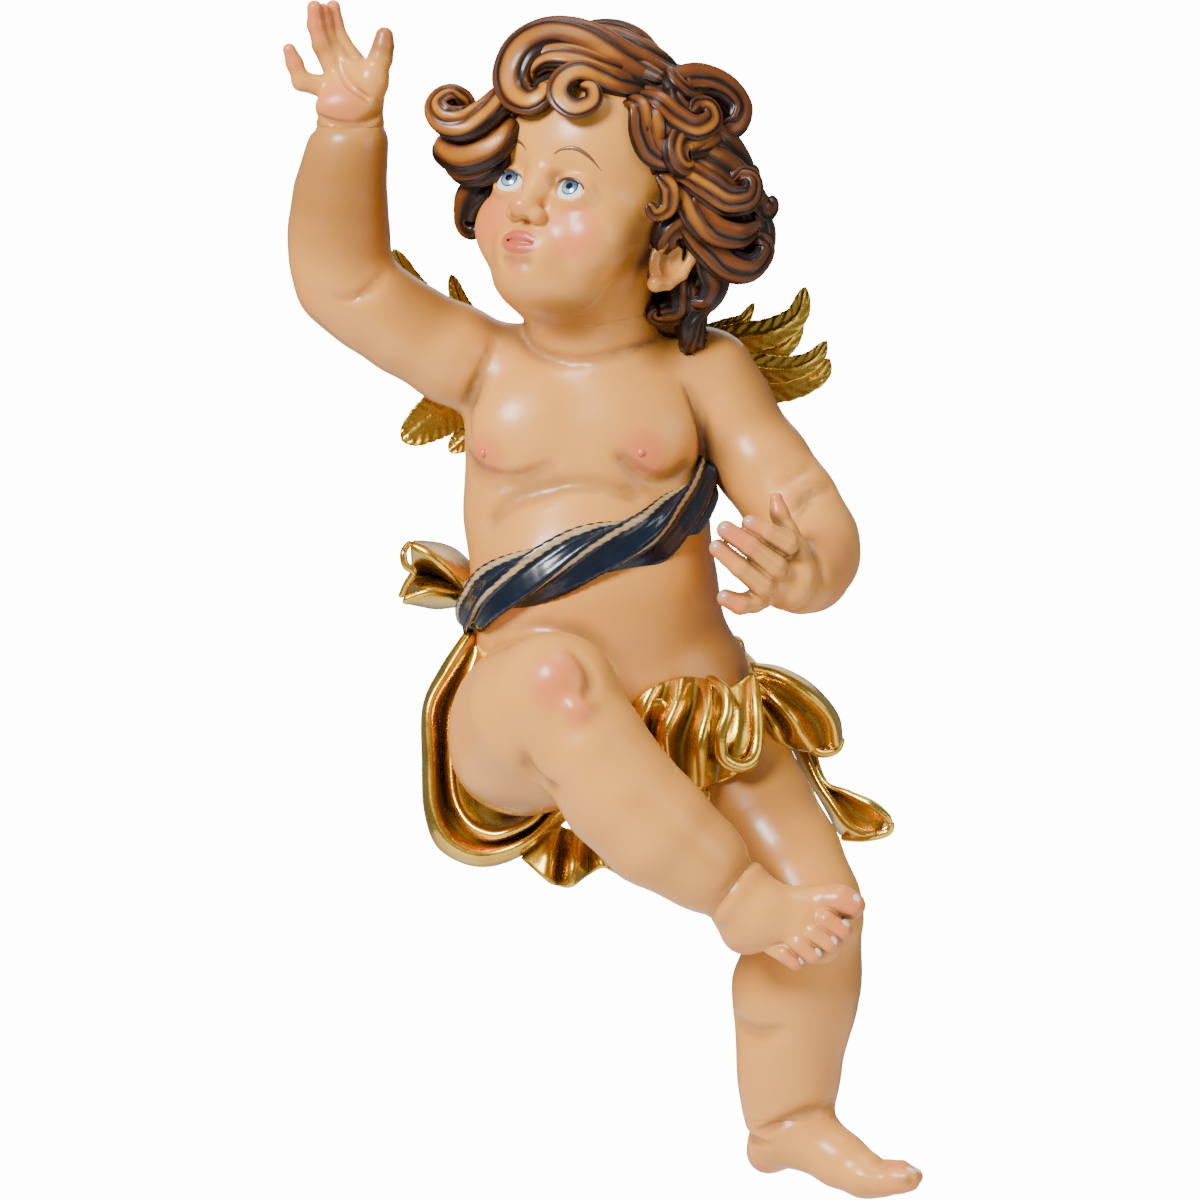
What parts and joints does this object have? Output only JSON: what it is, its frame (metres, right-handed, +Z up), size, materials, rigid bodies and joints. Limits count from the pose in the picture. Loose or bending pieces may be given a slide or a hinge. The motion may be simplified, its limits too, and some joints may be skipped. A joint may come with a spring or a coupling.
{
  "type": "flying angel wall figure",
  "caption": "Carved and painted wooden cherub in flight, one arm raised, with gilded wings and hip cloth and a flat seat on the back to hang it on a wall.",
  "frame": {"origin": "centre of the flat seat on the back that lies on the wall", "axes": "+Y into the wall, +Z up, +X to the right of a viewer who faces the figure"},
  "size_m": [0.3167, 0.2021, 0.5981],
  "materials": {
    "painted_flesh": "satin flesh paint with a brown glaze",
    "gilding": "burnished gold leaf with a brown glaze",
    "painted_hair": "gloss brown glaze over a tan ground",
    "painted_sash": "gloss dark blue paint with pale stripes"
  },
  "bodies": {
    "root": {"angel_figure": "painted_flesh", "right_wing": "gilding", "left_wing": "gilding"}
  },
  "joints": []
}
